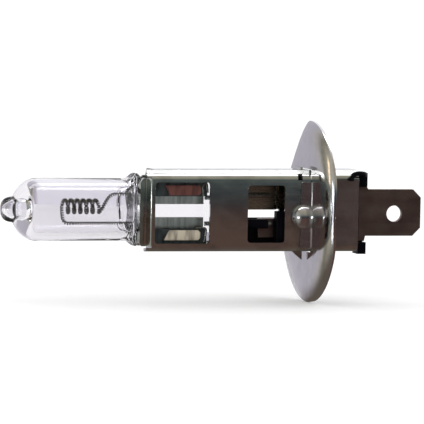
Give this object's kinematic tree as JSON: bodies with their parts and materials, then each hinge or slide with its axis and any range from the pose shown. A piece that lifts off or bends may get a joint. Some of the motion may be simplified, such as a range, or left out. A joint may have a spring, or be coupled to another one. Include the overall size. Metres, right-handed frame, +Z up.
{
  "type": "headlight bulb",
  "caption": "Halogen headlight bulb: clear quartz capsule with a coiled filament, gripped in a sheet-steel holder with a round prefocus flange and a flat blade terminal.",
  "frame": {"origin": "on the holder's axis, in the plane of the prefocus flange's front face", "axes": "+X along the bulb from the glass tip to the blade terminal, +Z up, flat faces of holder, pinch and blade towards -Y and +Y"},
  "size_m": [0.0586, 0.0237, 0.0244],
  "materials": {
    "quartz": "clear fused quartz",
    "tungsten": "drawn tungsten, dull grey",
    "molybdenum": "bare molybdenum",
    "plated_steel": "bright nickel plate over pressed steel",
    "plated_brass": "nickel-plated brass",
    "black_moulding": "black heat-resistant moulding",
    "sleeve_braid": "black glass-fibre sleeve"
  },
  "bodies": {
    "root": {"quartz_capsule": "quartz", "filament": "tungsten", "leg_jacket_upper": "tungsten", "leg_jacket_lower": "tungsten", "inner_lead_upper": "molybdenum", "inner_lead_lower": "molybdenum", "foil_upper": "molybdenum", "foil_lower": "molybdenum", "outer_lead_upper": "molybdenum", "outer_lead_lower": "molybdenum", "lead_sleeve": "sleeve_braid", "holder_front_shell": "plated_steel", "holder_back_shell": "plated_steel", "flange_ring": "plated_steel", "ground_strap": "plated_steel", "terminal_blade": "plated_brass", "insulator_front": "black_moulding", "insulator_back": "black_moulding"}
  },
  "joints": []
}
